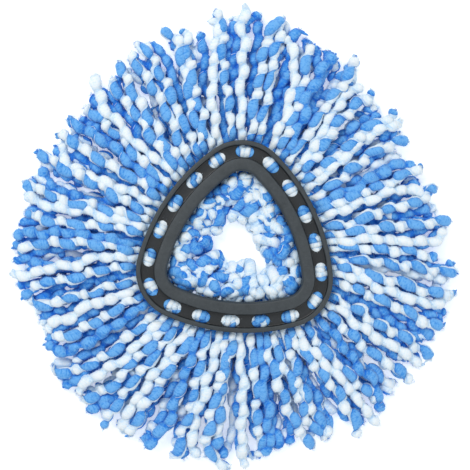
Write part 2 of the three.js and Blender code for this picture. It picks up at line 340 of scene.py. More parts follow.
YARN = yarn_material(
    blues=((0.014, 0.185, 0.74), (0.058, 0.29, 0.74), (0.17, 0.45, 0.85)),
    whites=((0.51, 0.715, 0.94), (0.74, 0.87, 0.965), (0.88, 0.915, 0.935)),
    sheen=0.22,
)
RING_PLASTIC = plastic_material(
    "ring_plastic",
    recess_shade=(0.0090, 0.0104, 0.0122),
    dark=(0.0235, 0.0295, 0.0338),
    light=(0.046, 0.0545, 0.0605),
    dust=(0.05, 0.052, 0.054),
    roughness=0.40,
)

# Yarn. A ply's colour is given as the distance in millimetres inside the blue ply.

BLUE, WHITE = 3.0, -3.0

# A strand's steps, and how finely its curve is drawn between two points of its route.
STEP = 1.0 * MM
ROUTE_FINENESS = 14
# The twist: one lobe for each half turn, tighter inside the ring than outside it.
LOBE_LENGTH = 10.5 * MM
SAME_COLOUR_RATE = 0.92
RATE_CHANGE = 0.18
RATE_LIMITS = (-0.24, 0.30)
INNER_RADIUS = 46 * MM
INNER_TWIST = 1.2
# The part of a top strand, measured along it, that lies under the rim.
RIM_FROM = 16.5 * MM
RIM_TO = 21.5 * MM
# How much longer blue lobes are than white ones, and how quickly one ply follows the other.
BLUE_BIAS = 0.42
LOBE_DWELL = 3
PATCH_DWELL = 6
# The plies' outline, pinched between lobes, and a little flat.
LOBE_SIDES = 8
PLY_OFFSET = 1.6 * MM
PLY_RADIUS = 3.8 * MM
PINCH = 0.61
GATHER = 0.4
THINNEST = 0.9 * MM
LOBE_FULLNESS = 0.60
FLATTEN = 0.72
LOBE_SHIFT = 1.0 * MM
FATNESS_CHANGE = 0.09
FATNESS_LIMITS = (-0.15, 0.12)
ROUGH_SURFACE = 0.03
# The cut end stays full, and closes to a round tip.
TIP_RUN = 6 * MM
TIP_FULLNESS = 0.8
TIP_ROUND = 2.8 * MM
TIP_CLOSED = 0.93
# Half of the blue patch on a lobe and at a pinch, as angles, and how far its middle strays.
PATCH_FULL = math.radians(80)
PATCH_NECK = math.radians(26)
PATCH_ASIDE = math.radians(14)
# The painted shade at a pinch and at the side of a lobe, and how it varies at random on and
# between strands.
PINCH_SHADE = 0.40
SIDE_SHADE = 0.60
TONE_CHANGE = 0.08
TONE_SPREAD = 0.07
# The binding thread, which lies by this angle beside the edge of the blue patch.
THREAD_ASIDE = 0.15
THREAD_RADIUS = 0.24 * MM
THREAD_PROUD = 0.8
THREAD_DEPTH = 1.2 * MM
THREAD_SIDES = 5
THREAD_SHADE = 0.8
# Loose fibres. The two kinds of pile are numbers of fibres for each millimetre of strand.
DENSE_PILE = 14
THIN_PILE = 7
FIBRE_RADIUS = 0.07 * MM
FIBRE_SHORTEST = 0.6 * MM
FIBRE_SPAN = 1.9 * MM
MOSTLY_SHORT = 1.7
FIBRE_LEAN = 0.6
FIBRE_SCATTER = 0.35
FIBRE_ROOT = 0.2 * MM
FIBRE_SHADE = 0.85
STRAY_WHITES = 0.12
# The frayed tip: fibres, and tufts of pile.
TIP_FIBRES = 110
TIP_SCATTER = 0.75
TIP_WIDTH = 1.2 * MM
TIP_SHADE = 0.8
TUFT_STEPS = 7
TUFT_SIDES = 6
TUFT_LEVEL = 1.2 * MM
# Yarn stays this far off the floor, and the points of a pressed fibre this far apart.
FLOOR_GAP = 0.25 * MM
FIBRE_RISE = 0.01 * MM


def smooth_route(points, step):
    """A Catmull-Rom curve through points of any number of columns, in even steps of length."""
    p = np.asarray(points, float)
    p = np.vstack([2 * p[0] - p[1], p, 2 * p[-1] - p[-2]])
    t = np.linspace(0, 1, ROUTE_FINENESS, endpoint=False)[:, None]
    runs = []
    for a, b, c, d in zip(p, p[1:], p[2:], p[3:]):
        square = 2 * a - 5 * b + 4 * c - d
        cube = 3 * b - a - 3 * c + d
        runs.append(0.5 * (2 * b + (c - a) * t + square * t**2 + cube * t**3))
    fine = np.vstack([*runs, p[-2:-1]])
    pieces = np.linalg.norm(np.diff(fine[:, :3], axis=0), axis=1)
    length = np.concatenate([[0], np.cumsum(pieces)])
    count = max(4, int(round(length[-1] / step)))
    at = np.linspace(0, length[-1], count + 1)
    return np.column_stack([np.interp(at, length, column) for column in fine.T]), at


def unit_rows(vectors):
    """Each row scaled to length 1."""
    return vectors / np.linalg.norm(vectors, axis=1)[:, None]


def side_vectors(centre):
    """For each point of a line, a level vector across it and one that completes the frame.
    The frame is carried along the line, so it never flips where the line turns over."""
    tangent = unit_rows(np.gradient(centre, axis=0))
    across = np.cross([0, 0, 1], tangent[0])
    across /= np.linalg.norm(across)
    out = np.empty_like(centre)
    for i, t in enumerate(tangent):
        across = across - t * (across @ t)
        across /= np.linalg.norm(across)
        out[i] = across
    return out, np.cross(tangent, out)


def smooth_random(count, every, size):
    """A smooth random line of values about 0, with a free value at every so many steps."""
    knots = max(3, int(count / every) + 3)
    values = rng.normal(0, size, knots)
    at = np.linspace(0, knots - 1, count)
    low = np.clip(at.astype(int), 0, knots - 2)
    blend = at - low
    blend = blend * blend * (3 - 2 * blend)
    return values[low] * (1 - blend) + values[low + 1] * blend


def dwelling(phase, dwell):
    """The angle of a ply: it stays long on top or below, and changes over quickly."""
    return np.unwrap(np.arctan2(dwell * np.sin(phase), np.cos(phase)))


class YarnMesh:
    """Collects tubes and fibres and turns them into one object."""

    def __init__(self):
        self.points = []
        self.faces = []
        self.uvs = []
        self.shades = []
        self.blues = []
        self.count = 0

    def tube(self, rings, blue, along, shade):
        """rings is steps x sides x 3. blue is the distance inside the blue ply at each point,
        in millimetres. Both ends are closed."""
        steps, sides, _ = rings.shape
        index = self.count + np.arange(steps * sides).reshape(steps, sides)
        after = np.roll(index, -1, axis=1)
        quads = np.stack([index[:-1], after[:-1], after[1:], index[1:]], axis=-1).reshape(-1, 4)
        self.points.append(rings.reshape(-1, 3))
        self.shades.append(np.broadcast_to(shade, (steps, sides)).ravel())
        self.blues.append(np.broadcast_to(blue, (steps, sides)).ravel())
        self.faces.extend(quads.tolist())
        u0 = np.repeat(along[:-1], sides)
        u1 = np.repeat(along[1:], sides)
        v0 = np.tile(np.arange(sides) / sides, steps - 1)
        v1 = v0 + 1 / sides
        self.uvs.append(np.stack([u0, v0, u0, v1, u1, v1, u1, v0], axis=-1).reshape(-1, 2))
        self.faces.append(index[0][::-1].tolist())
        self.faces.append(index[-1].tolist())
        self.uvs.append(np.zeros((2 * sides, 2)))
        self.count += steps * sides

    def fibres(self, roots, directions, lengths, blue, shade):
        """Loose fibres, each a slim closed spike, kept off the floor without going flat."""
        side = unit_rows(np.cross(directions, rng.normal(0, 1, directions.shape)))
        other = np.cross(directions, side)
        a = roots + side * FIBRE_RADIUS
        b = roots + (other * cos(30) - side * 0.5) * FIBRE_RADIUS
        c = roots - (other * cos(30) + side * 0.5) * FIBRE_RADIUS
        tips = roots + directions * lengths[:, None]
        corners = np.stack([a, b, c, tips], axis=1)
        lowest = FLOOR_GAP + np.arange(4) * FIBRE_RISE
        corners[..., 2] = np.maximum(corners[..., 2], lowest)
        index = self.count + np.arange(4 * len(roots)).reshape(-1, 4)
        for order in ((0, 1, 3), (1, 2, 3), (2, 0, 3), (0, 2, 1)):
            self.faces.extend(index[:, order].tolist())
        self.points.append(corners.reshape(-1, 3))
        self.shades.append(np.full(4 * len(roots), shade))
        self.blues.append(np.repeat(blue, 4))
        self.uvs.append(np.zeros((12 * len(roots), 2)))
        self.count += 4 * len(roots)

    def build(self, name):
        mesh = bpy.data.meshes.new(name)
        mesh.from_pydata(np.vstack(self.points).tolist(), [], self.faces)
        mesh.materials.append(YARN)
        mesh.polygons.foreach_set("use_smooth", np.ones(len(mesh.polygons), bool))
        fibre = mesh.uv_layers.new(name="fibre")
        fibre.data.foreach_set("uv", np.vstack(self.uvs).ravel())
        for key, values in (("shade", self.shades), ("blue", self.blues)):
            layer = mesh.attributes.new(key, "FLOAT", "POINT")
            layer.data.foreach_set("value", np.concatenate(values).astype(np.float32))
        mesh.update()
        thing = bpy.data.objects.new(name, mesh)
        bpy.context.scene.collection.objects.link(thing)
        return thing


def lift_off_floor(rings):
    """Raises every point that is nearer the floor than its gap."""
    rings[..., 2] = np.maximum(rings[..., 2], FLOOR_GAP)
    return rings


def winding(centre, along, mixed, start, shift):
    """The phase of a strand's twist at each of its points. It runs unevenly, and faster
    inside the ring. The strand takes on an extra turn, its shift, under the rim."""
    rate = 1 if mixed else SAME_COLOUR_RATE
    rate += np.clip(smooth_random(len(along), every=9, size=RATE_CHANGE), *RATE_LIMITS)
    rate *= np.where(np.hypot(centre[:, 0], centre[:, 1]) < INNER_RADIUS, INNER_TWIST, 1)
    begin = rng.uniform(0, math.tau) if start is None else start
    phase = begin + np.cumsum(rate) * STEP * math.pi / LOBE_LENGTH
    phase += shift * np.clip((along - RIM_FROM) / (RIM_TO - RIM_FROM), 0, 1)
    return phase + (BLUE_BIAS if mixed else 0) * np.cos(phase)


def add_strand(yarn, trim, points, plies, thread, layer_shade, dense=False, start=None, shift=0.0):
    """One two-ply strand along a route of (x, y, z, thickness, looseness) points. The plies
    wind round each other in lobes, and each one's pile spreads where it lies on top. Where
    the looseness is low the plies are pressed together and show no lobes. The tube goes into
    yarn, and the fibres, the frayed tip and the binding thread go into trim. Gives back the
    strand's middle line and its length."""
    route, along = smooth_route(points, STEP)
    centre, thick, loose = route[:, :3].copy(), route[:, 3], np.clip(route[:, 4], 0, 1)
    across, up = side_vectors(centre)
    count = len(along)
    mixed = plies[0] != plies[1]
    to_tip = along[-1] - along

    phase = winding(centre, along, mixed, start, shift)
    turn = dwelling(phase, LOBE_DWELL)
    lobe = np.abs(np.sin(phase)) ** LOBE_FULLNESS
    lobe = np.maximum(lobe, TIP_FULLNESS * (1 - np.clip(to_tip / TIP_RUN, 0, 1)))
    centre += across * (LOBE_SHIFT * thick * loose * np.sin(turn))[:, None]

    fatness = 1 + np.clip(smooth_random(count, every=8, size=FATNESS_CHANGE), *FATNESS_LIMITS)
    radius = PLY_RADIUS * (1 - PINCH * loose * (1 - lobe)) * fatness
    left = np.clip(to_tip / TIP_ROUND, 0, 1)
    ends = np.sqrt(1 - (1 - left) ** 2 * TIP_CLOSED)
    half = np.linspace(-90, 90, LOBE_SIDES, endpoint=False) + 90 / LOBE_SIDES
    psi = np.radians(np.concatenate([half, half + 180]))
    local = np.radians(np.tile(half, 2))
    offset = PLY_OFFSET * (1 - GATHER * (1 - lobe) * loose)[:, None]
    core = np.maximum(radius[:, None] ** 2 - (offset * np.sin(local)) ** 2, THINNEST**2)
    reach = offset * np.cos(local) + np.sqrt(core)
    reach = reach * (1 + rng.normal(0, ROUGH_SURFACE, reach.shape)) * (thick * ends)[:, None]
    angle = turn[:, None] + psi
    rings = lift_off_floor(
        centre[:, None, :]
        + across[:, None, :] * (reach * np.cos(angle))[..., None]
        + up[:, None, :] * (reach * np.sin(angle) * FLATTEN)[..., None]
    )

    # Painted shade: darker at pinches and on the sides of each lobe, lighter on its crown, plus
    # the layer's painted shade and random tone.
    crown = PINCH_SHADE + (1 - PINCH_SHADE) * lobe[:, None]
    crown = crown * (SIDE_SHADE + (1 - SIDE_SHADE) * np.cos(local))
    tint = layer_shade + rng.normal(0, TONE_SPREAD) + smooth_random(count, every=6, size=TONE_CHANGE)
    shade = np.clip(crown + tint[:, None], 0, 1)
    patch = PATCH_NECK + (PATCH_FULL - PATCH_NECK) * lobe
    middle = dwelling(phase, PATCH_DWELL) + smooth_random(count, every=7, size=PATCH_ASIDE)
    from_middle = np.abs((angle - middle[:, None] + math.pi) % math.tau - math.pi)
    blue = (patch[:, None] - from_middle) * reach / MM if mixed else plies[0]
    blue = np.broadcast_to(np.clip(blue, WHITE, BLUE), reach.shape)
    yarn.tube(rings, blue, along, shade)
    add_fuzz(trim, rings, blue, centre, along[-1], dense)
    add_frayed_tip(trim, centre, across, up, plies, thick[-1])
    if thread:
        edge = middle - patch - THREAD_ASIDE
        add_thread(trim, centre, across, up, edge, reach[:, 0], along)
    return centre, along[-1]


def add_fuzz(trim, rings, blue, centre, length, dense):
    """Loose fibres standing off a strand's surface: mostly short pile, a few long ones."""
    steps, sides, _ = rings.shape
    count = int(length / MM * (DENSE_PILE if dense else THIN_PILE))
    i = rng.integers(1, steps - 1, count)
    k = rng.integers(0, sides, count)
    roots = rings[i, k]
    normal = unit_rows(roots - centre[i])
    tangent = unit_rows(centre[i + 1] - centre[i - 1])
    roots = roots + tangent * rng.uniform(-0.5, 0.5, count)[:, None] * STEP
    lean = rng.normal(0, FIBRE_LEAN, count)[:, None]
    scatter = rng.normal(0, FIBRE_SCATTER, (count, 3))
    directions = unit_rows(normal + tangent * lean + scatter)
    lengths = FIBRE_SHORTEST + FIBRE_SPAN * rng.random(count) ** MOSTLY_SHORT
    colour = np.where(blue[i, k] > 0, BLUE, WHITE)
    colour = np.where(rng.random(count) < STRAY_WHITES, WHITE, colour)
    trim.fibres(roots - normal * FIBRE_ROOT, directions, lengths, colour, FIBRE_SHADE)


def round_tube(line, radii, sides):
    """Rings of points round a line, with one radius for all, for each step or for each point."""
    a, b = side_vectors(line)
    corner = np.arange(sides)[:, None] * math.tau / sides
    ring = a[:, None, :] * np.cos(corner) + b[:, None, :] * np.sin(corner)
    return line[:, None, :] + ring * radii


def add_tuft(trim, tip, ahead, across, up, plies, thick):
    """A tuft of pile at a cut end, which bends aside and gets thinner."""
    aim = ahead + across * rng.normal(0, 0.35) + up * rng.normal(0, 0.2)
    aim /= np.linalg.norm(aim)
    curl = across * rng.normal(0, 0.5) + up * rng.normal(0, 0.25)
    length = rng.uniform(2.2, 4.2) * MM
    t = np.linspace(0, 1, TUFT_STEPS)[:, None]
    line = tip + aim * length * t + curl * length * t * t
    line[:, 2] = np.maximum(line[:, 2], TUFT_LEVEL)
    width = rng.uniform(0.9, 1.5) * MM * thick * np.sqrt(np.clip(1.10 - t**3, 0, 1))
    uneven = 1 + rng.normal(0, 0.15, (TUFT_STEPS, TUFT_SIDES, 1))
    rings = lift_off_floor(round_tube(line, width[:, :, None] * uneven, TUFT_SIDES))
    colour = plies[rng.integers(0, 2)]
    trim.tube(rings, colour, t[:, 0] * length, rng.uniform(0.25, 0.9))


def add_frayed_tip(trim, centre, across, up, plies, thick):
    """The cut end: up to two tufts of pile that spread and curl, and loose fibres round them."""
    ahead = centre[-1] - centre[-5]
    ahead /= np.linalg.norm(ahead)
    for _ in range(rng.integers(0, 3)):
        add_tuft(trim, centre[-3], ahead, across[-1], up[-1], plies, thick)
    directions = unit_rows(ahead + rng.normal(0, TIP_SCATTER, (TIP_FIBRES, 3)))
    roots = centre[-2] + rng.normal(0, TIP_WIDTH, (TIP_FIBRES, 3))
    colours = np.asarray(plies)[rng.integers(0, 2, TIP_FIBRES)]
    lengths = rng.uniform(1.4, 3.2, TIP_FIBRES) * MM
    trim.fibres(roots, directions, lengths, colours, TIP_SHADE)


def add_thread(trim, centre, across, up, angle, surface, along):
    """The thin binding thread, which follows the edge of the blue ply and sinks in here and
    there under the pile."""
    sunk = np.clip(smooth_random(len(along), every=6, size=1.0), 0, 1)
    out = surface + THREAD_RADIUS * THREAD_PROUD - sunk * THREAD_DEPTH
    aside = across * (out * np.cos(angle))[:, None]
    line = centre + aside + up * (out * np.sin(angle) * FLATTEN)[:, None]
    rings = lift_off_floor(round_tube(line, THREAD_RADIUS, THREAD_SIDES))
    trim.tube(rings, WHITE, along, THREAD_SHADE)


# The colours of the top strands come in cycles. Those of the others are the chances that both
# plies are white, and that both are blue.
TOP_CYCLE = 7
WHITE_PLACES = (1, 4)
WHITE_CHANCE = 0.84
BLUE_PLACE = 6
BLUE_CHANCE = 0.70
MIDDLE_COLOURS = (0.02, 0.78)
EDGE_COLOURS = (0.06, 0.74)
BOTTOM_COLOURS = (0.30, 0.12)
THREAD_CHANCE = 0.35


def pick_plies(all_white, all_blue):
    """The colours of a strand's two plies, given how often both are the same."""
    draw = rng.random()
    if draw < all_white:
        return (WHITE, WHITE)
    if draw < all_white + all_blue:
        return (BLUE, BLUE)
    return (BLUE, WHITE)


def top_plies(bundle, k):
    """Top strands, in cycles of seven: most at the white places are all white, and most at
    the blue place are all blue, so that two all-white strands never lie side by side."""
    place = (bundle * len(TOP_SHARES) + k) % TOP_CYCLE
    if place in WHITE_PLACES and rng.random() < WHITE_CHANCE:
        return (WHITE, WHITE)
    if place == BLUE_PLACE and rng.random() < BLUE_CHANCE:
        return (BLUE, BLUE)
    return (BLUE, WHITE)


def ply_on_top(bundle, k):
    """Which ply of a top strand shows in its window. Neighbours often show the same colour."""
    return (k // 2 + bundle) % 2 if bundle % 3 else int(k in (1, 2))


# How far in mm the longest ends of each bundle reach, clockwise from the top corner.
BUNDLE_REACH = (
    175, 164, 151, 146, 156, 165, 163, 165, 158,
    162, 163, 167, 161, 167, 164, 156, 162, 168,
)
# Heights in mm along the free run, from the rim at 0 to the tip at 1.
LEVELS = {
    "top": ((0, 13.7), (0.10, 17.4), (0.25, 18.6), (0.5, 17.0), (0.75, 14.4), (1, 10.4)),
    "middle": ((0, 12.0), (0.12, 11.0), (0.25, 11.2), (0.5, 10.6), (0.75, 9.2), (1, 7.0)),
    "bottom": ((0, 4.8), (1, 4.7)),
}
RIM_OFFSET = 8.5 * MM
FAN_SPREAD = 1.06
# A strand's heading, and the way its tip points, stray by about so many degrees.
HEADING_CHANGE = 1.1
SWING = 13
# A curve's handles as a share of its length.
HANDLE = 0.33
# Waves and uneven heights grow to their full size over this share of the run.
SETTLED = 0.25
UNEVEN = 0.8 * MM
# Thickness and looseness grow from the rim outward.
THICKNESS_STOPS = (0, 0.09, 0.3, 1)
THICKNESSES = (0.58, 0.86, 0.99, 1.02)
LOOSENESS_STOPS = (0, 0.09)
LOOSENESSES = (0.45, 1)
ROUTE_STOPS = (0.0, 0.09, 0.19, 0.30, 0.41, 0.52, 0.63, 0.74, 0.84, 0.93, 1.0)
WAVE = {"top": 0.9 * MM, "middle": 1.1 * MM, "bottom": 1.5 * MM}
SPREAD = {"top": 0.86, "middle": 1.06, "bottom": 0.95}
# Painted shade by layer: the middle and bottom strands are darker, the top ones lighter.
LAYER_SHADE = {"top": 0.06, "middle": -0.07, "bottom": -0.12}
CURL_FROM = 0.78
CURL = 5.5 * MM


def outer_route(bundle, share, level, reach):
    """The free run of a strand, from the rim to its tip: a Bezier curve that leaves the rim
    about square to it and ends near the strand's heading, with waves all along it and a curl
    near the tip."""
    place = bundle + SPREAD[level] * share
    start = ring_point(place, RIM_OFFSET)
    heading = fan_direction(bundle + FAN_SPREAD * share) + rng.normal(0, HEADING_CHANGE)
    out = unit(heading)
    side = np.array([-out[1], out[0]])
    tip = out * reach
    first = unit(normal_at(place)) + start / np.linalg.norm(start)
    first /= np.linalg.norm(first)
    handle = HANDLE * np.linalg.norm(tip - start)
    swing = unit(heading + rng.normal(0, SWING))
    a, b, c, d = start, start + first * handle, tip - swing * handle, tip
    curl = rng.normal(0, CURL)
    points = []
    for q in ROUTE_STOPS:
        xy = a * (1 - q) ** 3 + 3 * b * q * (1 - q) ** 2 + 3 * c * q * q * (1 - q) + d * q**3
        freedom = min(1, q / SETTLED)
        wave = rng.normal(0, WAVE[level]) * freedom
        wave += curl * (max(0, q - CURL_FROM) / (1 - CURL_FROM)) ** 2
        z = np.interp(q, *zip(*LEVELS[level])) * MM
        if level != "bottom":
            z += rng.normal(0, UNEVEN) * freedom
        thick = np.interp(q, THICKNESS_STOPS, THICKNESSES)
        loose = np.interp(q, LOOSENESS_STOPS, LOOSENESSES)
        points.append((*(xy + side * wave), z, thick, loose))
    return points


# The run of a top strand between the rings: offset from the window line, height, thickness.
CLAMP_RUN = ((-12, 13.7, 0.46), (-7.5, 13.7, 0.47), (-4.9, 14.1, 0.50), (-2.9, 16.2, 0.57),
             (0, 17.3, 0.60), (2.9, 16.2, 0.57), (4.9, 14.1, 0.50), (6.6, 13.7, 0.50))
CLAMP_LOOSENESS = 0.15
WINDOW_RUN = 12.5 * MM
DOME_HEIGHT = 1.3 * MM
DOME_HALF_SHARE = 0.4
DOME_ABOVE = 15
# How close together the strands of a bundle lie at the windows, below them, and at the rim.
WINDOW_GATHER = 0.62
LOWER_GATHER = 0.7
RIM_GATHER = 0.75


def clamp_route(bundle, share):
    """The run of a top strand between the rings, which bulges up into the window. The dome
    is highest in the window's middle."""
    dome = DOME_HEIGHT * (1 - (share / DOME_HALF_SHARE) ** 2)
    place = bundle + WINDOW_GATHER * share
    points = []
    for offset, height, thick in CLAMP_RUN:
        z = height * MM + (dome if height > DOME_ABOVE else 0)
        points.append((*ring_point(place, offset * MM), z, thick, CLAMP_LOOSENESS))
    return points


# The gap in the middle is a lopsided triangle: each corner's distance and direction.
OPENING_CORNERS = ((22 * MM, 103), (22 * MM, 196), (28 * MM, 333))
NOSE_THICKNESS = 4.5 * MM
INNER_SPREAD = 0.9
INNER_HEADING_CHANGE = 5
BEND_LIMIT = 7 * MM
BEND_SHARE = 0.3
HOOK_LIMIT = 4 * MM
HOOK_SHARE = 0.2
LOWER_RUN = 4.9 * MM


def opening(degrees):
    """How far out along a ray the edge of the middle gap lies."""
    ray = unit(degrees)
    corners = [unit(angle) * distance for distance, angle in OPENING_CORNERS]
    nearest = math.inf
    for p, q in zip(corners, corners[1:] + corners[:1]):
        edge = q - p
        below = ray[0] * edge[1] - ray[1] * edge[0]
        along = (p[0] * edge[1] - p[1] * edge[0]) / below
        if 0 < along < nearest:
            nearest = along
    return nearest


def inner_route(bundle, share, nose, top):
    """A loop: from under the flange in towards the middle, over, and back out below the ring.
    nose says how far it gets: 0 is the edge of the middle gap and 1 the ring's inside edge."""
    place = bundle + WINDOW_GATHER * share
    under = ring_point(place, -8 * MM)
    edge = ring_point(place, -15 * MM)
    below = ring_point(bundle + LOWER_GATHER * share, -14 * MM)
    rim = ring_point(bundle + RIM_GATHER * share, -2 * MM)
    heading = fan_direction(bundle + INNER_SPREAD * share) + rng.normal(0, INNER_HEADING_CHANGE)
    gap = opening(heading) + NOSE_THICKNESS
    out = unit(heading)
    tip = out * (gap + nose * (np.linalg.norm(edge) - gap))
    side = np.array([-out[1], out[0]])
    span = np.linalg.norm(edge - tip)
    bend = rng.normal(0, 1) * min(BEND_LIMIT, BEND_SHARE * span)
    hook = math.copysign(min(HOOK_LIMIT, HOOK_SHARE * span), rng.normal())
    near = edge * 0.66 + tip * 0.34 + side * bend
    far = edge * 0.35 + tip * 0.65 - side * bend * 0.5
    return [
        (*under, 13.4 * MM, 0.46, 0.2),
        (*edge, 11.4 * MM, 0.60, 0.5),
        (*near, top + rng.normal(0, 1.0) * MM, 0.98, 0.55),
        (*far, top + rng.normal(0, 1.2) * MM, 1.05, 0.55),
        (*(tip + side * hook), top - 2.5 * MM, 1.05, 0.55),
        (*(tip * 0.98), 0.5 * top + 2 * MM, 0.96, 0.7),
        (*(tip + out * 2 * MM - side * hook), 5.6 * MM, 0.90, 1),
        (*(edge * 0.4 + tip * 0.6 - side * bend), LOWER_RUN, 0.92, 1),
        (*below, LOWER_RUN, 0.90, 1),
        (*rim, LOWER_RUN, 0.90, 1),
    ]


# A strand's share of its bundle's width, from -0.5 to 0.5.
TOP_SHARES = (-0.375, -0.125, 0.125, 0.375)
MIDDLE_SHARES = (-0.42, -0.25, -0.08, 0.09, 0.26, 0.43)
BOTTOM_SHARES = (-0.32, -0.08, 0.16, 0.42)
# How far in mm the longest strands stay behind the bundle's reach, and how uneven they are.
SHORTER = {"top": (0, 6), "middle": (5, 7), "bottom": (7, 8)}
# Turn that each top strand takes on under the rim, so that lobes don't lie side by side.
STAGGER = (0.0, 1.9, 0.6, 2.6)
STAGGER_STEP = 1.3
# Which top strands are pieces of their own.
DECLARED = (0, 2)
# The clamped start of a middle strand: offsets, and its height, thickness and looseness.
MIDDLE_OFFSETS = (-1 * MM, 4 * MM)
MIDDLE_CLAMP = (12.6 * MM, 0.42, 0.20)
# How far out each inner loop's nose stays, and how high in mm the loop is. The first loop
# of every other bundle stays a little further out.
FIRST_NOSE_OUT = 0.14
OTHER_NOSES = (0.62, 0.36, 0.82)
NOSE_CHANGE = (-0.04, 0.08)
LOOP_TOPS = (13.5, 14.5, 15.5, 13.5)


def reach_of(bundle, level):
    """How far from the middle of the head a strand's tip lies."""
    less, spread = SHORTER[level]
    return (BUNDLE_REACH[bundle] - less - abs(rng.normal(0, spread))) * MM


def hinge_distance(bundle):
    """How far out the fan's bending axis lies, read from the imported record."""
    joint = next(j for j in frame["joints"] if j["name"] == f"fan_{bundle + 1:02d}_bend")
    return math.hypot(*joint["pos_m"][:2])


def bend_at_rim(thing, bundle):
    """Bakes the piece's placement into its mesh. It reads where its fan's bending axis lies, but
    does not use it.
    """
    hinge = hinge_distance(bundle)
    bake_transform(thing)


def add_top_strands(yarn, bundle):
    """The strands seen in the window. Two of them are pieces of their own."""
    for k, share in enumerate(TOP_SHARES):
        clamped = clamp_route(bundle, share)
        route = clamped + outer_route(bundle, share, "top", reach_of(bundle, "top"))
        plies = top_plies(bundle, k)
        thread = rng.random() < THREAD_CHANCE
        start = math.pi / 2 * (1 + 2 * ply_on_top(bundle, k)) - WINDOW_RUN / LOBE_LENGTH * math.pi
        shift = (STAGGER[k] + STAGGER_STEP * bundle + math.pi) % math.tau - math.pi
        tube = YarnMesh() if k in DECLARED else yarn
        centre, length = add_strand(
            tube, yarn, route, plies, thread, LAYER_SHADE["top"], dense=True, start=start, shift=shift
        )
        if k not in DECLARED:
            continue
        strand = tube.build(f"strand_{bundle + 1:02d}_{'ab'[DECLARED.index(k)]}")
        bend_at_rim(strand, bundle)
        [tuple(p) for p in centre]


def add_middle_strands(yarn, bundle):
    """The strands under the top ones. They start between the rings, below the windows."""
    for k, share in enumerate(MIDDLE_SHARES):
        place = bundle + LOWER_GATHER * share
        route = [(*ring_point(place, offset), *MIDDLE_CLAMP) for offset in MIDDLE_OFFSETS]
        route += outer_route(bundle, share, "middle", reach_of(bundle, "middle"))
        at_edge = k in (0, len(MIDDLE_SHARES) - 1)
        plies = pick_plies(*(EDGE_COLOURS if at_edge else MIDDLE_COLOURS))
        add_strand(yarn, yarn, route, plies, rng.random() < THREAD_CHANCE, LAYER_SHADE["middle"])


def add_bottom_strands(yarn, bundle):
    """The strands that go on inside the ring as loops."""
    noses = (FIRST_NOSE_OUT * (bundle % 2), *OTHER_NOSES)
    for share, nose, top in zip(BOTTOM_SHARES, noses, LOOP_TOPS):
        loop = inner_route(bundle, share, nose + rng.uniform(*NOSE_CHANGE), top * MM)
        route = loop + outer_route(bundle, share, "bottom", reach_of(bundle, "bottom"))
        plies = pick_plies(*BOTTOM_COLOURS)
        add_strand(yarn, yarn, route, plies, rng.random() < THREAD_CHANCE, LAYER_SHADE["bottom"])


def make_bundle(bundle):
    """Two strands as pieces of their own, and one piece with the bundle's other strands and all
    its loose fibres.
    """
    number = f"{bundle + 1:02d}"
    yarn = YarnMesh()
    add_top_strands(yarn, bundle)
    add_middle_strands(yarn, bundle)
    add_bottom_strands(yarn, bundle)
    piece = yarn.build(f"yarn_bundle_{number}")
    bend_at_rim(piece, bundle)
    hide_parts(f"yarn_loop_{number}", f"yarn_fan_{number}")


for bundle in range(BUNDLES):
    make_bundle(bundle)

# Upper ring.

UPPER_RING_BOTTOM = 16.5 * MM
CHANNEL_FLOOR = 19.4 * MM
RIM_TOP = 22.6 * MM
FLANGE_TOP = 24.6 * MM
# Offsets from the window line: the flange, the channel between its sloping walls, the rim.
FLANGE_INSIDE = -14.2 * MM
FLANGE_EDGE = -12.9 * MM
FLANGE_OUTSIDE = -5.3 * MM
CHANNEL_INSIDE = -5.0 * MM
CHANNEL_OUTSIDE = 4.35 * MM
RIM_INSIDE = 4.6 * MM
RIM_OUTSIDE = 7.9 * MM
FLANGE_CHAMFER = 1.5 * MM
RING_STEPS = 240
WINDOW_LENGTH = 13 * MM
WINDOW_WIDTH = 8.6 * MM
WINDOW_SIDES = 32
# A plug's levels: height above the channel floor and how much wider it is there.
WINDOW_MOUTH = (
    (-0.7 * MM, 0), (-0.2 * MM, 0.1 * MM), (0.1 * MM, 0.4 * MM), (0.4 * MM, 0.4 * MM),
)
# Directions of the sides' middles, and how many degrees beside them the weld lines lie.
SIDE_MIDDLES = (30, 150, 270)
WELD_ASIDE = 6
WELD_LINE = {
    "inner": -12.6 * MM, "outer": -8.2 * MM, "half_width": 0.22 * MM,
    "low": 24.3 * MM, "high": 24.75 * MM, "taper": 0.1 * MM,
}
NUB_DIRECTIONS = (30, 39)
NUB = {
    "inner": 6.5 * MM, "outer": 8.6 * MM, "half_width": 1.1 * MM,
    "low": 18.5 * MM, "high": 22.2 * MM, "taper": 0.35 * MM,
}
# Edges where the surface turns by fewer degrees than this look smooth.
SMOOTH_BELOW = 38


def rounded(corners, radius, steps=3):
    """A closed outline with each corner rounded. A corner is (x, y) or (x, y, its own radius)."""
    points = [np.array(c[:2]) for c in corners]
    out = []
    for i, p in enumerate(points):
        size = corners[i][2] if len(corners[i]) > 2 else radius
        a = points[i - 1] - p
        b = points[(i + 1) % len(points)] - p
        start = p + a / np.linalg.norm(a) * size
        end = p + b / np.linalg.norm(b) * size
        for t in np.linspace(0, 1, steps + 1):
            out.append(start * (1 - t) ** 2 + 2 * p * t * (1 - t) + end * t * t)
    return out


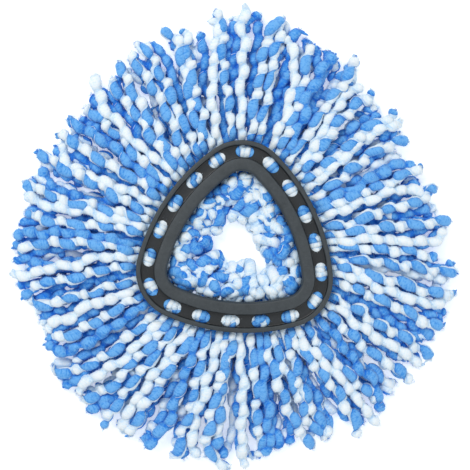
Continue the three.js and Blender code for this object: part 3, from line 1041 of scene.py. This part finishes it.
def upper_ring_section():
    return rounded([
        (FLANGE_INSIDE, UPPER_RING_BOTTOM),
        (RIM_OUTSIDE, UPPER_RING_BOTTOM),
        (RIM_OUTSIDE, RIM_TOP, 0.9 * MM),
        (RIM_INSIDE, RIM_TOP, 0.6 * MM),
        (CHANNEL_OUTSIDE, CHANNEL_FLOOR, 0.7 * MM),
        (CHANNEL_INSIDE, CHANNEL_FLOOR, 0.7 * MM),
        (FLANGE_OUTSIDE, FLANGE_TOP, 0.6 * MM),
        (FLANGE_EDGE, FLANGE_TOP, 0.7 * MM),
        (FLANGE_INSIDE, FLANGE_TOP - FLANGE_CHAMFER, 0.6 * MM),
    ], radius=0.5 * MM)


def sweep_ring(section):
    """A closed section of (offset, height) points carried once round the window line."""
    mesh = bmesh.new()
    rings = []
    for step in range(RING_STEPS):
        degrees = 360 * step / RING_STEPS
        rings.append([mesh.verts.new((*line_point(degrees, o), z)) for o, z in section])
    for i, ring in enumerate(rings):
        after = rings[(i + 1) % RING_STEPS]
        for k in range(len(section)):
            m = (k + 1) % len(section)
            mesh.faces.new((ring[k], ring[m], after[m], after[k]))
    bmesh.ops.recalc_face_normals(mesh, faces=mesh.faces)
    return mesh


def window_cutter(mesh, index):
    """A stadium-shaped plug with a flared mouth, standing across the channel floor."""
    normal = normal_at(index)
    centre = line_point(normal, 0)
    radial, tangent = unit(normal), unit(normal + 90)
    half = (WINDOW_LENGTH - WINDOW_WIDTH) / 2
    levels = [(UPPER_RING_BOTTOM - 1 * MM, 0)]
    levels += [(CHANNEL_FLOOR + above, grow) for above, grow in WINDOW_MOUTH]
    rings = []
    for z, grow in levels:
        ring = []
        for k in range(WINDOW_SIDES):
            a = math.tau * (k + 0.5) / WINDOW_SIDES
            end = half if math.sin(a) > 0 else -half
            r = WINDOW_WIDTH / 2 + grow
            xy = centre + radial * (r * math.cos(a)) + tangent * (end + r * math.sin(a))
            ring.append(mesh.verts.new((*xy, z)))
        rings.append(ring)
    for low, high in zip(rings, rings[1:]):
        for k in range(WINDOW_SIDES):
            m = (k + 1) % WINDOW_SIDES
            mesh.faces.new((low[k], low[m], high[m], high[k]))
    mesh.faces.new(rings[0][::-1])
    mesh.faces.new(rings[-1])


def as_object(mesh, name, material):
    data = bpy.data.meshes.new(name)
    mesh.to_mesh(data)
    mesh.free()
    data.materials.append(material)
    thing = bpy.data.objects.new(name, data)
    bpy.context.scene.collection.objects.link(thing)
    return thing


def apply_modifiers(thing):
    """Replaces an object's mesh by what its modifiers make of it."""
    depsgraph = bpy.context.evaluated_depsgraph_get()
    made = bpy.data.meshes.new_from_object(thing.evaluated_get(depsgraph))
    thing.modifiers.clear()
    thing.data = made


def block(mesh, degrees, inner, outer, half_width, low, high, taper):
    """A small raised block across the ring, with a narrower top."""
    tangent = unit(degrees + 90)
    corners = []
    for z, inset in ((low, 0), (high, taper)):
        for offset, side in ((inner, -1), (outer, -1), (outer, 1), (inner, 1)):
            reach = offset - math.copysign(inset, offset - (inner + outer) / 2)
            xy = line_point(degrees, reach) + tangent * side * (half_width - inset)
            corners.append(mesh.verts.new((*xy, z)))
    walls = [(k, (k + 1) % 4, (k + 1) % 4 + 4, k + 4) for k in range(4)]
    for face in ((3, 2, 1, 0), (4, 5, 6, 7), *walls):
        mesh.faces.new([corners[k] for k in face])


def add_ring_details(mesh):
    """The weld lines across the flange near the middles of the sides, and two nubs on the rim."""
    for middle in SIDE_MIDDLES:
        block(mesh, middle + WELD_ASIDE, **WELD_LINE)
    for degrees in NUB_DIRECTIONS:
        block(mesh, degrees, **NUB)


def cut_windows(ring):
    """Cuts one window for each bundle, the first at the top corner."""
    plugs = bmesh.new()
    for index in range(BUNDLES):
        window_cutter(plugs, index)
    bmesh.ops.recalc_face_normals(plugs, faces=plugs.faces)
    cutter = as_object(plugs, "window_plugs", RING_PLASTIC)
    cut = ring.modifiers.new("windows", "BOOLEAN")
    cut.operation = "DIFFERENCE"
    cut.solver = "EXACT"
    cut.object = cutter
    apply_modifiers(ring)
    bpy.data.objects.remove(cutter)


def make_upper_ring():
    shell = sweep_ring(upper_ring_section())
    ring = as_object(shell, "upper_ring_shell", RING_PLASTIC)
    cut_windows(ring)
    whole = bmesh.new()
    whole.from_mesh(ring.data)
    add_ring_details(whole)
    whole.to_mesh(ring.data)
    whole.free()
    ring.data.polygons.foreach_set("use_smooth", np.ones(len(ring.data.polygons), bool))
    ring.data.set_sharp_from_angle(angle=math.radians(SMOOTH_BELOW))
    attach(ring, "ring_assembly")
    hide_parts("upper_ring")


make_upper_ring()

lower_ring = frame["nodes"]["lower_ring"]
lower_ring.data.materials.clear()
lower_ring.data.materials.append(RING_PLASTIC)

# Floor, light and background.

FLOOR_SIZE = 6
FLOOR_COLOUR = (0.93, 0.93, 0.935, 1)
FLOOR_GLOW = 0.4
SKY_COLOUR = (0.90, 0.96, 1.0, 1)
SKY_STRENGTH = 0.68


def make_floor():
    bpy.ops.mesh.primitive_plane_add(size=FLOOR_SIZE)
    floor = bpy.context.object
    floor.name = "floor"
    n = Nodes("floor")
    n.set(Roughness=0.9, Specular_IOR_Level=0.1, Base_Color=FLOOR_COLOUR)
    n.set(Emission_Color=(1, 1, 1, 1), Emission_Strength=FLOOR_GLOW)
    floor.data.materials.append(n.material)


def make_light(name, place, size, watts):
    """A square area light that shines at the middle of the floor."""
    data = bpy.data.lights.new(name, "AREA")
    data.size = size
    data.energy = watts
    light = bpy.data.objects.new(name, data)
    light.location = place
    light.rotation_euler = (-Vector(place)).to_track_quat("-Z", "Y").to_euler()
    bpy.context.scene.collection.objects.link(light)


def make_world():
    world = bpy.data.worlds.new("studio")
    world.use_nodes = True
    background = world.node_tree.nodes["Background"]
    background.inputs["Color"].default_value = SKY_COLOUR
    background.inputs["Strength"].default_value = SKY_STRENGTH
    bpy.context.scene.world = world


make_floor()
make_light("key", place=(-0.7, 0.8, 1.5), size=0.9, watts=14)
make_light("fill", place=(0.9, -0.6, 1.4), size=1.2, watts=5)
make_world()
bpy.context.scene.view_settings.view_transform = "Standard"
